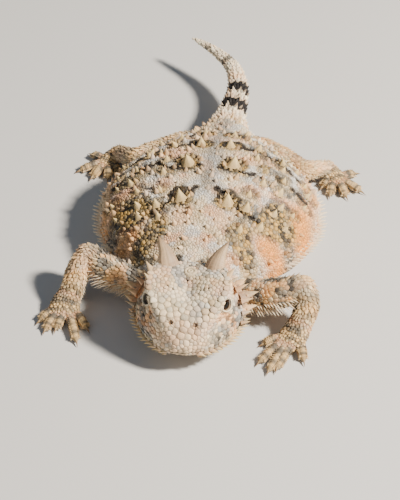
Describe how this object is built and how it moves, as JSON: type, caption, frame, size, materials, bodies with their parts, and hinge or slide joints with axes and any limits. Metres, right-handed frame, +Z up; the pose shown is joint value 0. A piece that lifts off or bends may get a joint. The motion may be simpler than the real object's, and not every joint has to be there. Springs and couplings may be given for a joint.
{
  "type": "desert horned lizard",
  "caption": "Life-size still model of a desert horned lizard resting flat on its belly, with head horns, side fringe, cone scales and a raised tail tip.",
  "frame": {"origin": "middle of the floor under the animal", "axes": "+Z up; the snout points to -Y, the tail to +Y; +X is the animal's left"},
  "size_m": [0.0668, 0.1122, 0.02],
  "materials": {
    "sand_skin": "matt, scaly",
    "horn": "satin keratin",
    "eye": "wet gloss"
  },
  "bodies": {
    "root": {"eye_left": "eye", "eye_right": "eye", "foot_left": "sand_skin", "foot_right": "sand_skin", "forearm_left": "sand_skin", "forearm_right": "sand_skin", "hand_left": "sand_skin", "hand_right": "sand_skin", "head": "sand_skin", "horn_left": "horn", "horn_right": "horn", "neck": "sand_skin", "shin_left": "sand_skin", "shin_right": "sand_skin", "tail_base": "sand_skin", "tail_tip": "sand_skin", "thigh_left": "sand_skin", "thigh_right": "sand_skin", "torso": "sand_skin", "upper_arm_left": "sand_skin", "upper_arm_right": "sand_skin"}
  },
  "joints": []
}
